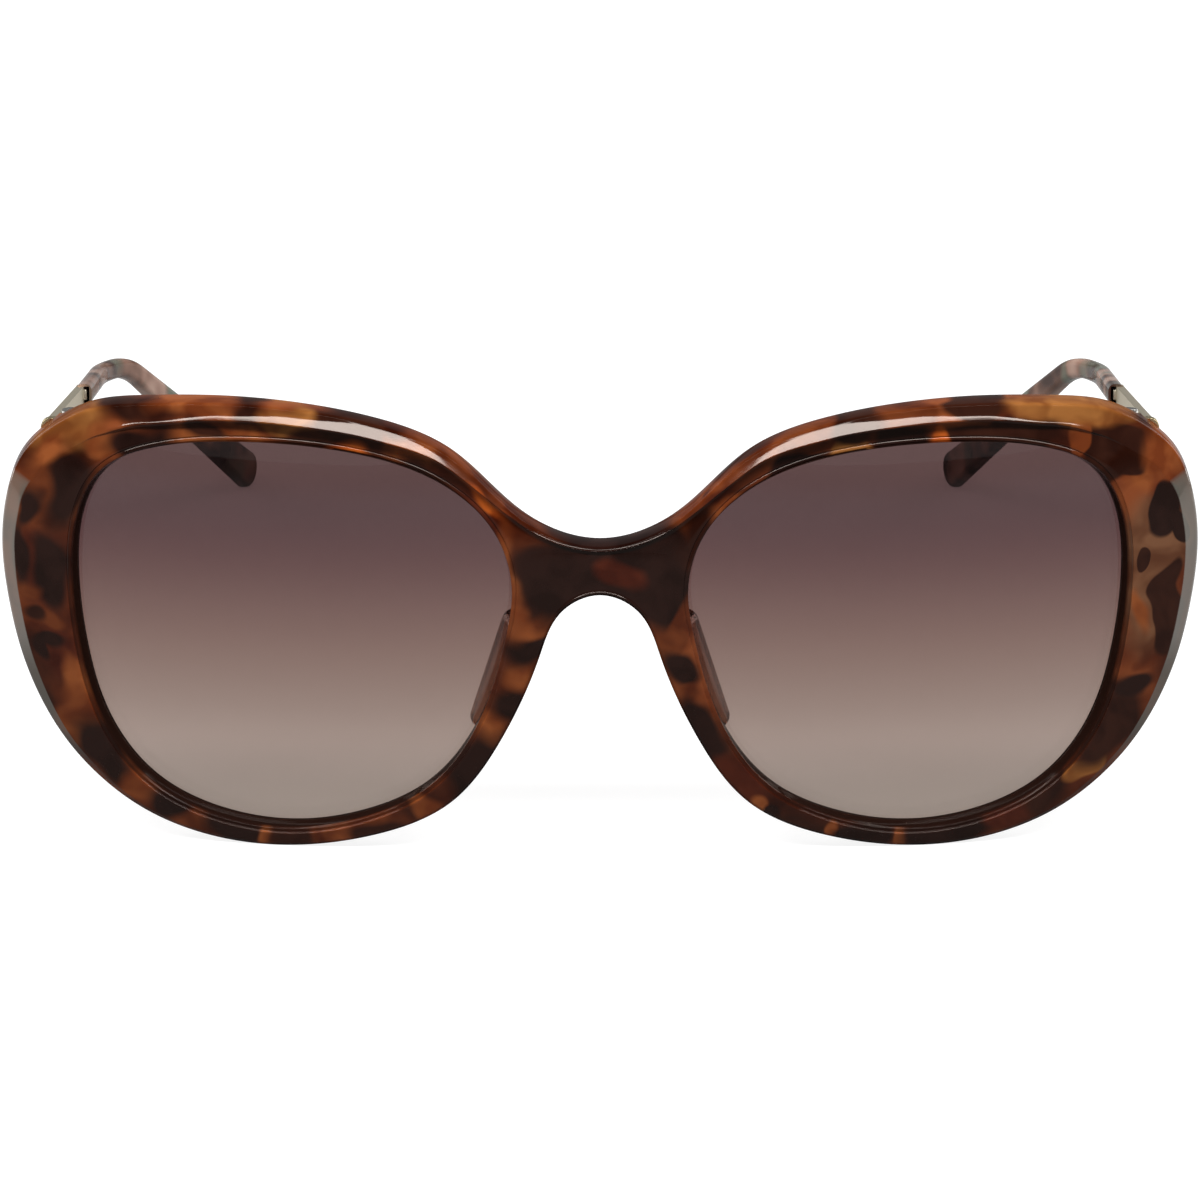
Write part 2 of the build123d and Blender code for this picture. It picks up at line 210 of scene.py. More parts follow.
def loft(bm, rings, marks):
    """Extrude a loop of vertices through the rings of places in turn, and merge what meets.

    Each named mark has one row for every ring, with a number for every place on it."""
    layers = {name: bm.verts.layers.float.new(name) for name in marks}
    loop = bmesh.ops.create_circle(bm, segments=len(rings[0]), radius=1.0)["verts"]
    for count, ring in enumerate(rings):
        if count:
            edges = [a_edge for a, b in zip(loop, loop[1:] + loop[:1])
                     for a_edge in a.link_edges if a_edge.other_vert(a) is b]
            made = bmesh.ops.extrude_edge_only(bm, edges=edges)["geom"]
            fresh = {piece for piece in made if isinstance(piece, bmesh.types.BMVert)}
            loop = [next(e.other_vert(v) for e in v.link_edges if e.other_vert(v) in fresh)
                    for v in loop]
        for i, (vertex, place) in enumerate(zip(loop, ring)):
            vertex.co = Vector(place) * MM
            for name, layer in layers.items():
                vertex[layer] = float(marks[name][count][i])
    bmesh.ops.remove_doubles(bm, verts=bm.verts, dist=0.001 * MM)


def finished(bm, name, body, material, replaced=()):
    """The bmesh as a smooth-shaded piece that rides on a body and takes a slot's finish."""
    mesh = bpy.data.meshes.new(name)
    bm.to_mesh(mesh)
    bm.free()
    for polygon in mesh.polygons:
        polygon.use_smooth = True
    mesh.materials.append(material)
    piece = bpy.data.objects.new(name, mesh)
    bpy.context.scene.collection.objects.link(piece)
    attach(piece, body)
    if replaced:
        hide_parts(*replaced)
    return piece


# ---- colours and nodes
def colour(code):
    """An sRGB hex code as the linear colour that a node takes."""
    parts = [int(code[i : i + 2], 16) / 255 for i in (1, 3, 5)]
    linear = [c / 12.92 if c <= 0.04045 else ((c + 0.055) / 1.055) ** 2.4 for c in parts]
    return (*linear, 1.0)


def node(tree, kind, inputs=None, **settings):
    """A node with its settings, and a value or another node's socket for each input."""
    made = tree.nodes.new(kind)
    for name, value in settings.items():
        setattr(made, name, value)
    for name, value in (inputs or {}).items():
        if isinstance(value, bpy.types.NodeSocket):
            tree.links.new(value, made.inputs[name])
        else:
            made.inputs[name].default_value = value
    return made


def new_material(name):
    """An empty material with its output, and its node tree."""
    material = bpy.data.materials.new(name)
    material.use_nodes = True
    material.node_tree.nodes.clear()
    return material, material.node_tree


def surface(tree, shader):
    """Joins a shader to the material's output."""
    node(tree, "ShaderNodeOutputMaterial", {"Surface": shader.outputs[0]})


# Tones of the tortoiseshell sheet, from the darkest patches to the clearest amber.
tones = {
    "dark": "#210f0b",
    "brown": "#2f150c",
    "red": "#491c0e",
    "mid": "#602e15",
    "caramel": "#834622",
    "orange": "#a9501a",
    "amber": "#8e5a2c",
    "tan": "#6e4932",
}
wall_painted_shade = "#1a0d09"       # painted shade on the walls of the openings, which hardly any light leaves
facet_painted_sheen = "#66645c"      # painted grey sheen on the side facets, for the bright studio they mirror
facet_sheen_strength = 0.62           # how much of it they show
sheet_shine = 0.25
facet_shine = 0.50
dull_loss = 0.22            # shine that walls and worn edges lack
# Patches in the sheet, as they lie on the front: centre, half sizes, turn in degrees, tone
# and how soft the edge is. Later ones lie over earlier ones. The orange patches on the lenses'
# top edges are also painted glow of light coming through the acetate there.
front_patches = [
    # the wearer's right: outer corner and band over the brow
    (-64.5, 52.3, 4.6, 2.8, 30, "amber", 0.32),
    (-57.4, 54.6, 3.4, 1.5, 0, "brown", 0.32),
    (-48.6, 55.2, 4.4, 1.5, 0, "caramel", 0.32),
    (-42.0, 55.0, 2.2, 1.4, 0, "brown", 0.32),
    (-37.4, 54.4, 2.8, 1.4, 0, "amber", 0.32),
    (-30.2, 53.6, 3.6, 1.5, -8, "brown", 0.32),
    (-23.0, 50.8, 3.4, 1.2, -28, "caramel", 0.32),
    (-17.0, 47.4, 3.0, 1.3, -38, "mid", 0.32),
    # wide patches down the temple side
    (-67.2, 34.8, 3.6, 5.6, 0, "red", 0.32),
    (-67.0, 43.6, 3.0, 4.6, -12, "mid", 0.32),
    (-65.6, 24.4, 3.0, 3.4, 14, "red", 0.32),
    # field over the lens
    (-64.6, 44.6, 2.7, 5.0, -14, "dark", 0.22),
    (-60.8, 50.0, 1.7, 1.6, 0, "caramel", 0.30),
    (-66.4, 48.9, 3.0, 1.4, 40, "caramel", 0.30),
    (-55.0, 50.4, 5.2, 1.8, 6, "dark", 0.23),
    (-44.0, 51.2, 6.0, 1.9, 0, "caramel", 0.29),
    (-47.3, 52.2, 1.5, 1.1, 0, "brown", 0.29),
    (-35.2, 50.7, 4.2, 1.7, -6, "brown", 0.29),
    # painted glow: orange on the lens's top edge, where light comes through the acetate
    (-29.8, 49.9, 2.4, 1.6, -18, "orange", 0.32),
    (-23.2, 47.2, 5.0, 2.0, -32, "dark", 0.29),
    (-17.8, 44.0, 3.2, 1.8, -38, "brown", 0.29),
    # down the temple side
    (-69.0, 41.4, 1.1, 2.3, 0, "dark", 0.26),
    (-70.0, 36.0, 1.1, 3.6, 0, "dark", 0.30),
    (-66.0, 34.2, 2.4, 4.6, 0, "dark", 0.18),
    (-69.1, 31.8, 1.5, 1.3, 0, "mid", 0.30),
    (-66.2, 28.2, 2.0, 1.0, 0, "mid", 0.30),
    (-68.7, 28.6, 1.3, 1.0, 0, "brown", 0.26),
    (-66.8, 25.3, 2.6, 1.1, 14, "dark", 0.20),
    (-68.4, 23.8, 0.8, 1.7, 20, "dark", 0.24),
    (-63.6, 20.6, 1.4, 3.2, 18, "caramel", 0.30),
    (-66.6, 17.2, 1.8, 1.7, 0, "brown", 0.32),
    (-62.8, 14.4, 2.0, 2.8, 30, "caramel", 0.32),
    (-60.0, 11.6, 2.7, 5.0, 32, "dark", 0.23),
    (-56.0, 7.0, 1.8, 2.0, 45, "caramel", 0.29),
    (-52.3, 4.9, 2.5, 1.7, -35, "dark", 0.26),
    (-49.0, 2.9, 1.5, 1.2, 0, "mid", 0.29),
    (-44.6, 1.8, 3.6, 1.6, -12, "dark", 0.26),
    (-40.8, 1.4, 0.9, 1.4, 0, "caramel", 0.29),
    (-37.2, 1.2, 2.8, 1.8, 0, "brown", 0.26),
    (-33.2, 1.4, 2.0, 1.4, 0, "mid", 0.32),
    (-26.8, 2.6, 3.2, 1.8, 15, "brown", 0.26),
    (-20.6, 5.6, 1.4, 2.4, 50, "caramel", 0.29),
    # nose side
    (-14.8, 10.6, 2.9, 5.2, -28, "dark", 0.26),
    (-13.2, 15.9, 1.3, 1.7, -25, "caramel", 0.32),
    (-11.4, 19.4, 1.5, 3.2, -12, "dark", 0.26),
    (-9.9, 23.4, 1.5, 1.6, 0, "caramel", 0.32),
    (-8.2, 26.5, 2.8, 2.3, 10, "dark", 0.26),
    (-8.0, 29.4, 2.6, 1.2, 10, "caramel", 0.32),
    (-15.2, 41.8, 4.4, 3.6, -42, "red", 0.32),
    (-14.0, 44.3, 3.4, 0.9, -42, "orange", 0.32),
    (-10.7, 34.6, 1.4, 6.0, 6, "caramel", 0.29),
    # bridge
    (0.0, 36.0, 9.0, 5.0, 0, "dark", 0.12),
    (-5.8, 34.4, 3.8, 5.6, 0, "dark", 0.23),
    (6.8, 35.4, 4.6, 6.6, -10, "dark", 0.14),
    (2.2, 35.4, 2.6, 1.7, -20, "red", 0.26),
    # the wearer's left: nose side
    (12.4, 39.6, 3.6, 3.0, 40, "brown", 0.18),
    (8.9, 28.8, 1.2, 4.6, -24, "mid", 0.20),
    (9.2, 23.9, 2.1, 2.9, 20, "dark", 0.18),
    (10.7, 20.2, 1.8, 1.5, 20, "mid", 0.20),
    (12.3, 14.6, 3.0, 5.2, 20, "dark", 0.16),
    (16.9, 8.7, 3.4, 2.9, -45, "red", 0.20),
    (19.2, 6.2, 1.3, 1.6, 0, "caramel", 0.18),
    (21.2, 4.8, 1.7, 1.7, -30, "dark", 0.16),
    (24.6, 2.8, 3.2, 1.8, -20, "brown", 0.18),
    (28.4, 2.2, 1.1, 1.8, 0, "caramel", 0.18),
    (32.4, 1.7, 3.6, 1.9, 0, "dark", 0.16),
    (36.5, 1.3, 0.8, 1.6, 0, "caramel", 0.18),
    (42.2, 1.7, 5.6, 2.0, 5, "dark", 0.18),
    (49.6, 3.4, 3.0, 2.0, 25, "red", 0.20),
    (55.2, 6.6, 3.4, 2.4, 35, "brown", 0.18),
    (59.6, 8.9, 2.6, 1.2, 38, "amber", 0.16),
    # temple side
    (61.9, 15.2, 3.8, 6.4, -28, "brown", 0.16),
    (66.9, 29.0, 3.6, 5.0, -5, "tan", 0.20),
    (65.6, 19.8, 2.5, 1.6, 8, "dark", 0.20),
    (67.0, 37.6, 4.2, 5.6, 0, "tan", 0.16),
    (65.4, 28.8, 1.0, 2.4, 0, "caramel", 0.30),
    (65.6, 45.6, 1.6, 2.0, -20, "caramel", 0.30),
    (69.0, 28.8, 2.1, 5.8, -4, "brown", 0.05),
    (65.6, 35.7, 0.9, 1.7, 0, "brown", 0.06),
    (68.3, 41.7, 2.1, 3.1, -22, "dark", 0.06),
    (69.9, 39.1, 1.2, 2.6, 10, "dark", 0.06),
    # field over the lens
    (62.0, 49.6, 5.2, 2.5, -32, "brown", 0.06),
    (60.6, 47.4, 3.0, 2.6, 0, "brown", 0.10),
    (57.4, 51.0, 0.9, 2.2, -12, "caramel", 0.12),
    (48.8, 51.7, 7.8, 2.2, 0, "brown", 0.10),
    # painted glow: orange on the lens's top edge, where light comes through the acetate
    (40.6, 51.1, 1.6, 1.6, 0, "orange", 0.16),
    (35.9, 51.3, 3.4, 2.2, 5, "dark", 0.10),
    (30.2, 50.2, 2.7, 2.4, 12, "amber", 0.08),
    (23.6, 47.7, 4.7, 2.3, 28, "dark", 0.14),
    (16.2, 43.0, 4.2, 1.7, 43, "caramel", 0.18),
    (14.4, 44.8, 2.6, 0.8, 48, "red", 0.18),
    # band over the brow and outer corner
    (57.0, 54.4, 8.2, 2.0, -8, "amber", 0.20),
    (68.6, 48.6, 2.6, 3.6, 35, "caramel", 0.30),
    (44.5, 55.2, 4.4, 1.4, 0, "brown", 0.18),
    (37.0, 54.6, 3.4, 1.5, 5, "mid", 0.20),
    (30.5, 53.4, 3.4, 1.6, 12, "brown", 0.18),
    (24.4, 51.6, 3.4, 1.3, 28, "mid", 0.20),
]


def drifting(tree, size, push):
    """Object coordinates in millimetres, pushed about by clouds of a given size."""
    place = node(tree, "ShaderNodeTexCoord")
    in_mm = node(tree, "ShaderNodeVectorMath", {0: place.outputs["Object"], "Scale": 1 / MM},
                 operation="SCALE")
    clouds = node(tree, "ShaderNodeTexNoise", {"Vector": in_mm.outputs[0], "Scale": 1 / size,
                                               "Detail": 1.0, "Roughness": 0.4})
    centred = node(tree, "ShaderNodeVectorMath", {0: clouds.outputs["Color"], 1: (0.5, 0.5, 0.5)},
                   operation="SUBTRACT")
    pushed = node(tree, "ShaderNodeVectorMath", {0: centred.outputs[0], "Scale": push},
                  operation="SCALE")
    bent = node(tree, "ShaderNodeVectorMath", {0: in_mm.outputs[0], 1: pushed.outputs[0]},
                operation="ADD")
    return in_mm.outputs[0], bent.outputs[0]


def ramp(tree, value, stops, interpolation="LINEAR"):
    """A colour ramp with hex colours at its stops."""
    made = node(tree, "ShaderNodeValToRGB", {"Fac": value})
    made.color_ramp.interpolation = interpolation
    elements = made.color_ramp.elements
    while len(elements) < len(stops):
        elements.new(0.5)
    for element, (position, code) in zip(elements, stops):
        element.position = position
        element.color = colour(code)
    return made.outputs["Color"]


def polished(tree, place, shade):
    """A tumbled acetate surface: very slightly wavy, with a gloss that varies a little."""
    waves = node(tree, "ShaderNodeTexNoise", {"Vector": place, "Scale": 0.5, "Detail": 2.0})
    gloss = node(tree, "ShaderNodeMapRange", {"Value": waves.outputs["Fac"], "To Min": 0.05,
                                              "To Max": 0.11})
    bump = node(tree, "ShaderNodeBump", {"Height": waves.outputs["Fac"], "Strength": 0.25,
                                         "Distance": 0.01 * MM})
    return node(tree, "ShaderNodeBsdfPrincipled", {
        "Base Color": shade, "Roughness": gloss.outputs[0], "IOR": 1.48,
        "Specular IOR Level": sheet_shine, "Specular Tint": colour("#fff0e6"),
        "Normal": bump.outputs[0],
    })


def front_sheet():
    """Cellulose acetate, milled from tortoiseshell sheet and tumbled: deep warm patches.

    The walls of the openings get painted shade and stay dull, the side facets get a painted grey
    sheen for the bright studio they mirror and gleam, and the tumbled edges are worn to a lower
    shine."""
    material, tree = new_material("tumbled tortoiseshell acetate")
    in_mm, bent = drifting(tree, 6.0, 5.0)
    cloud = node(tree, "ShaderNodeTexNoise", {"Vector": bent, "Scale": 0.10, "Detail": 1.0})
    shade = ramp(tree, cloud.outputs["Fac"], [
        (0.36, "#38170b"), (0.48, "#572712"), (0.62, "#7a3e1f"),
    ])
    spread = 1.5            # how far each patch's fading reaches past its half size
    edge = 1 - 1 / spread
    for x, z, half_x, half_z, turn, tone, soft in front_patches:
        local = node(tree, "ShaderNodeMapping", {
            "Vector": bent, "Location": (x, 0, z), "Rotation": (0, -math.radians(turn), 0),
            "Scale": (spread * half_x, 1000.0, spread * half_z),
        }, vector_type="TEXTURE")
        spot = node(tree, "ShaderNodeTexGradient", {"Vector": local.outputs[0]},
                    gradient_type="SPHERICAL")
        inside = node(tree, "ShaderNodeMapRange", {
            "Value": spot.outputs["Fac"], "From Min": edge - soft, "From Max": edge + soft,
        }, interpolation_type="SMOOTHSTEP")
        laid = node(tree, "ShaderNodeMix", {0: inside.outputs[0], 6: shade,
                                            7: colour(tones[tone])}, data_type="RGBA")
        shade = laid.outputs[2]
    wisps = node(tree, "ShaderNodeTexNoise", {"Vector": bent, "Scale": 0.22, "Detail": 2.0})
    depth = ramp(tree, wisps.outputs["Fac"], [(0.38, "#c2ada3"), (0.60, "#ffffff")])
    shade = node(tree, "ShaderNodeMix", {0: 1.0, 6: shade, 7: depth}, data_type="RGBA",
                 blend_type="MULTIPLY").outputs[2]
    # painted shade: the walls of the openings are mixed toward a near-black
    walls = node(tree, "ShaderNodeAttribute", attribute_name="wall")
    shade = node(tree, "ShaderNodeMix", {0: walls.outputs["Fac"], 6: shade,
                                         7: colour(wall_painted_shade)}, data_type="RGBA").outputs[2]
    # painted reflection: the side facets are mixed toward grey, standing in for the bright studio
    # they mirror
    facets = node(tree, "ShaderNodeAttribute", attribute_name="facet")
    hazy = node(tree, "ShaderNodeMath", {0: facets.outputs["Fac"], 1: facet_sheen_strength},
                operation="MULTIPLY")
    shade = node(tree, "ShaderNodeMix", {0: hazy.outputs[0], 6: shade, 7: colour(facet_painted_sheen)},
                 data_type="RGBA").outputs[2]
    shader = polished(tree, in_mm, shade)
    bright = node(tree, "ShaderNodeMapRange", {"Value": facets.outputs["Fac"],
                                               "To Min": sheet_shine, "To Max": facet_shine})
    worn = node(tree, "ShaderNodeAttribute", attribute_name="worn")
    dull = node(tree, "ShaderNodeMath", {0: walls.outputs["Fac"], 1: worn.outputs["Fac"]},
                operation="MAXIMUM")
    dull = node(tree, "ShaderNodeMath", {0: dull.outputs[0], 1: dull_loss},
                operation="MULTIPLY")
    mirror = node(tree, "ShaderNodeMath", {0: bright.outputs[0], 1: dull.outputs[0]},
                  operation="SUBTRACT")
    tree.links.new(mirror.outputs[0], shader.inputs["Specular IOR Level"])
    surface(tree, shader)
    return material


def tip_sheet():
    """Temple tips cut from a paler, hazier part of the sheet, with small brown patches."""
    material, tree = new_material("hazy tortoiseshell acetate")
    in_mm, bent = drifting(tree, 8.0, 4.0)
    cloud = node(tree, "ShaderNodeTexNoise", {"Vector": bent, "Scale": 0.14, "Detail": 1.0})
    shade = ramp(tree, cloud.outputs["Fac"], [
        (0.36, "#3a251e"), (0.45, "#64473a"), (0.54, "#8c6b5c"), (0.66, "#a88a7b"),
    ])
    haze = node(tree, "ShaderNodeTexNoise", {"Vector": bent, "Scale": 0.12, "Detail": 1.0})
    green = node(tree, "ShaderNodeMapRange", {"Value": haze.outputs["Fac"], "From Min": 0.5,
                                              "From Max": 0.62})
    shade = node(tree, "ShaderNodeMix", {0: green.outputs[0], 6: shade, 7: colour("#656658")},
                 data_type="RGBA").outputs[2]
    surface(tree, polished(tree, in_mm, shade))
    return material


# Tint at each share of 60 mm above the floor.
lens_tint = [
    (0.10, "#9a8d84"), (0.20, "#95857d"), (0.30, "#86746c"), (0.42, "#765f58"),
    (0.52, "#674f4b"), (0.62, "#543a3a"), (0.72, "#4b3739"), (0.80, "#584342"),
]


def graded_lens():
    """Dyed lens, injection moulded: dark at the top, and paler towards the foot."""
    material, tree = new_material("gradient tinted lens")
    place = node(tree, "ShaderNodeTexCoord")
    parts = node(tree, "ShaderNodeSeparateXYZ", {0: place.outputs["Object"]})
    level = node(tree, "ShaderNodeMapRange", {"Value": parts.outputs["Z"],
                                              "From Max": 60 * MM})
    tint = ramp(tree, level.outputs[0], lens_tint, "B_SPLINE")
    shader = node(tree, "ShaderNodeBsdfPrincipled", {
        "Base Color": tint, "Roughness": 0.0, "IOR": 1.5, "Transmission Weight": 1.0,
        "Specular IOR Level": 0.08,
    })
    surface(tree, shader)
    return material


def plated(name, code, roughness, grain):
    """Metal, tumbled or drawn and then plated: a fine grain in its gloss."""
    material, tree = new_material(name)
    place = node(tree, "ShaderNodeTexCoord")
    in_mm = node(tree, "ShaderNodeVectorMath", {0: place.outputs["Object"], "Scale": 1 / MM},
                 operation="SCALE")
    drawn = node(tree, "ShaderNodeMapping", {"Vector": in_mm.outputs[0],
                                             "Scale": (1 / grain, 0.1 / grain, 1 / grain)})
    lines = node(tree, "ShaderNodeTexNoise", {"Vector": drawn.outputs[0], "Scale": 1.0,
                                              "Detail": 2.0})
    gloss = node(tree, "ShaderNodeMapRange", {"Value": lines.outputs["Fac"],
                                              "To Min": roughness - 0.06,
                                              "To Max": roughness + 0.06})
    bump = node(tree, "ShaderNodeBump", {"Height": lines.outputs["Fac"], "Strength": 0.3,
                                         "Distance": 0.005 * MM})
    shader = node(tree, "ShaderNodeBsdfPrincipled", {
        "Base Color": colour(code), "Metallic": 1.0, "Roughness": gloss.outputs[0],
        "Normal": bump.outputs[0],
    })
    surface(tree, shader)
    return material


def clear_brown():
    """Clear brown acetate, moulded for the nose pads: a faint warm band behind the lenses."""
    material, tree = new_material("clear brown acetate")
    _, bent = drifting(tree, 4.0, 1.0)
    haze = node(tree, "ShaderNodeTexNoise", {"Vector": bent, "Scale": 0.2, "Detail": 1.0})
    shade = ramp(tree, haze.outputs["Fac"], [(0.3, "#bd8f7c"), (0.7, "#d0a794")])
    gloss = node(tree, "ShaderNodeMapRange", {"Value": haze.outputs["Fac"], "To Min": 0.08,
                                              "To Max": 0.16})
    shader = node(tree, "ShaderNodeBsdfPrincipled", {
        "Base Color": shade, "Roughness": gloss.outputs[0], "IOR": 1.48,
        "Transmission Weight": 0.8,
    })
    surface(tree, shader)
    return material


def washer_nylon():
    """Nylon 6, turned and punched: milky, with a soft waxy sheen."""
    material, tree = new_material("natural nylon")
    _, bent = drifting(tree, 1.0, 0.3)
    haze = node(tree, "ShaderNodeTexNoise", {"Vector": bent, "Scale": 1.5, "Detail": 2.0})
    shade = ramp(tree, haze.outputs["Fac"], [(0.3, "#d9d3c4"), (0.7, "#ebe7dc")])
    shader = node(tree, "ShaderNodeBsdfPrincipled", {
        "Base Color": shade, "Roughness": 0.42, "IOR": 1.53, "Subsurface Weight": 0.2,
        "Subsurface Radius": (1.0, 0.9, 0.8), "Subsurface Scale": 0.3 * MM,
    })
    surface(tree, shader)
    return material


front_acetate = front_sheet()
tip_acetate = tip_sheet()
lens_material = graded_lens()
temple_plate = plated("champagne plated nickel silver", "#e4d9c0", 0.36, 0.08)
hinge_plate = plated("pale gold plated brass", "#d9c79c", 0.28, 0.05)
screw_steel = plated("bright stainless steel", "#c9c7c2", 0.22, 0.04)
nylon = washer_nylon()
pad_acetate = clear_brown()

# ---- what each carried-over solid is made of
finishes = {
    "nose_pad": pad_acetate, "temple_tip": tip_acetate,
    "temple_bar": temple_plate, "temple_leaf": hinge_plate, "hinge_plate": hinge_plate,
    "plate_screws": screw_steel, "hinge_screw": screw_steel, "hinge_washers": nylon,
}
for name, solid in frame["nodes"].items():
    kind = name.replace("_left", "").replace("_right", "")
    if kind not in finishes:
        continue
    for place in range(len(solid.data.materials)):
        solid.data.materials[place] = finishes[kind]
    if kind in ("temple_bar", "temple_leaf", "hinge_plate", "plate_screws", "hinge_screw"):
        weld = solid.modifiers.new("weld", "WELD")
        weld.merge_threshold = 0.001 * MM
        broken = solid.modifiers.new("broken edges", "BEVEL")
        broken.width = 0.10 * MM
        broken.segments = 2
        broken.limit_method = "ANGLE"
        broken.use_clamp_overlap = True
        solid.modifiers.new("even shading", "WEIGHTED_NORMAL")

# ---- the front: one ring of section after another, round one opening, then mirrored
edge_points = [(0, bridge_top)] + [(u * half_width, v * height) for u, v, *_ in edge_shape]
edge_points.append((0, bridge_foot))
edge_values = [(0.5, 0.25, 0.9)] + [values for _, _, *values in edge_shape] + [(0.5, 0.1, 0.4)]
outline, band = resample(edge_points, edge_values, edge_samples)
along = np.gradient(outline, axis=0)
along[0] = (1, 0)
along[-1] = (-1, 0)
inwards = np.column_stack([along[:, 1], -along[:, 0]])
inwards /= np.linalg.norm(inwards, axis=1)[:, None]
low = bridge_foot + 2 * edge_round
high = bridge_top - band[0, 0] - 2 * edge_round
middle = np.column_stack([np.zeros(middle_samples), np.linspace(low, high, middle_samples)])
outline = np.vstack([outline, middle])
inwards = np.vstack([inwards, np.zeros_like(middle)])
band = np.vstack([band, np.tile((0.5, 0.0, 0.0), (middle_samples, 1))])

shares, _ = resample(opening_shape, [(0,)] * len(opening_shape), 1200, closed=True)
rim = np.array([wall_place(share, 0.0) for share in shares])
rim_angle = np.arctan2(rim[:, 2] - facing_centre[1], rim[:, 0] - facing_centre[0]) % math.tau
order = np.argsort(rim_angle)
edge_angle = np.arctan2(outline[:, 1] - facing_centre[1], outline[:, 0] - facing_centre[0])
facing = np.column_stack([
    np.interp(edge_angle % math.tau, rim_angle[order], shares[order, k], period=math.tau)
    for k in (0, 1)
])


def edge_ring(offset, rise):
    """A ring along the front's edge, moved inwards by offset, with rise giving its y."""
    ring = []
    for i, (place, inward) in enumerate(zip(outline, inwards)):
        x, z = place + inward * (offset(i) if callable(offset) else offset)
        ring.append((x, rise(i, x, z), z))
    return ring


def wall_ring(depth, grow=0.0):
    """A ring on the wall of the opening."""
    return [wall_place(share, depth, grow) for share in facing]


def between(first, last, count, rise):
    """Rings between two rings, with rise giving their y."""
    rings = []
    for step in range(1, count):
        share = step / count
        ring = []
        for a, b in zip(first, last):
            x = a[0] + (b[0] - a[0]) * share
            z = a[2] + (b[2] - a[2]) * share
            ring.append((x, rise(x, z), z))
        rings.append(ring)
    return rings


def band_y(i, x, z, inside):
    """The band's face: it slopes steeply back from the crest, then runs flatter to the edge."""
    width, fall, steep = band[i]
    from_crest = max(width - inside, 0.0)
    slope = steep * from_crest - 0.04 * steep * from_crest**2
    flat = fall * (0.75 + 0.25 * from_crest / width)
    lower = min(slope, flat) - max(band_blend - abs(slope - flat), 0.0) ** 2 / 4 / band_blend
    return shell_y(x, z) + max(lower, 0.0)


def step_y(share):
    """From the sunken field at 0 to the crest of the ridge at 1."""
    return lambda i, x, z: field_y(x, z) + (shell_y(x, z) - field_y(x, z)) * share


def rim_ring(outwards, under, ledge=0.0):
    """A ring round the opening, under the field's own surface, and on the ledge at its foot."""
    ring = []
    for share in facing:
        place = wall_place(share, 0.0, outwards)
        place.y = field_y(place.x, place.z) + under + ledge * towards(share, 0.0, 0.9, 0.1)
        ring.append(place)
    return ring


def rim_corner(start, ledge):
    """The rings of a rounded corner round the opening, from a distance outwards of its wall."""
    corner = []
    for turn in (0, 30, 60, 90):
        outwards = start + opening_round * (1 - math.cos(math.radians(turn)))
        under = opening_round * (1 - math.sin(math.radians(turn)))
        corner.append(rim_ring(outwards, under, ledge))
    return corner


# from the back of the opening's wall over the groove to the ledge, the sunken field, the brow
# ridge, the band, the edge, and the back
rings = [wall_ring(thickness - opening_round), wall_ring(groove_far)]
rings.append(wall_ring(groove_far, groove_depth))
rings.append(wall_ring(groove_near, groove_depth))
for reach in wall_steps:
    depth = ledge_depth + (groove_near - ledge_depth) * reach
    rings.append([wall_place(share, depth, -wall_taper * reach * towards(share, 0.45, 0.5, 0.05))
                  for share in facing])
wall_rings = len(rings)
rings += rim_corner(0.0, ledge_depth)
rings.append(rim_ring(ledge_width - 0.05, 0.0, ledge_depth))
ledge_rings = len(rings)
rings += rim_corner(ledge_width, 0.0)
foot = edge_ring(lambda i: band[i, 0] + brow_foot, step_y(0.0))
rings += between(rings[-1], foot, field_rings, field_y)
rings.append(foot)
for inside, share in brow_step:
    rings.append(edge_ring(lambda i, inside=inside: band[i, 0] + inside, step_y(share)))
crest_rings = len(rings)
for step in range(1, band_rings):
    share = 1 - step / band_rings
    rings.append(edge_ring(
        lambda i, share=share: front_round + (band[i, 0] - front_round - crest_round) * share,
        lambda i, x, z, share=share: band_y(i, x, z, front_round
                                            + (band[i, 0] - front_round) * share),
    ))
edge_start = len(rings)
for turn in (0, 25, 50, 70, 90):
    offset = front_round * (1 - math.sin(math.radians(turn)))
    under = edge_round * (1 - math.cos(math.radians(turn)))
    rings.append(edge_ring(offset, lambda i, x, z, under=under, offset=offset: (
        band_y(i, x, z, offset) + (under if i < edge_samples else 0))))
band_end = len(rings)
for turn in (90, 60, 30, 0):
    offset = edge_round * (1 - math.sin(math.radians(turn)))
    under = edge_round * (1 - math.cos(math.radians(turn)))
    rings.append(edge_ring(offset, lambda i, x, z, under=under: (
        shell_y(x, z, thickness) - (under if i < edge_samples else 0))))
edge_end = len(rings)
back_rim = wall_ring(thickness, opening_round)
rings += between(rings[-1], back_rim, 4, lambda x, z: shell_y(x, z, thickness))
rings.append(back_rim)
rings.append(rings[0])

# how much of each ring gets painted shade on the wall, a painted grey sheen on the facet, or a
# worn edge
# painted shade: the ledge round each opening is darkened like the wall, most at the temple side
# and foot
ledge_painted_shade = [0.6 * towards(share, 0.45, 0.5, 0.0) for share in facing]
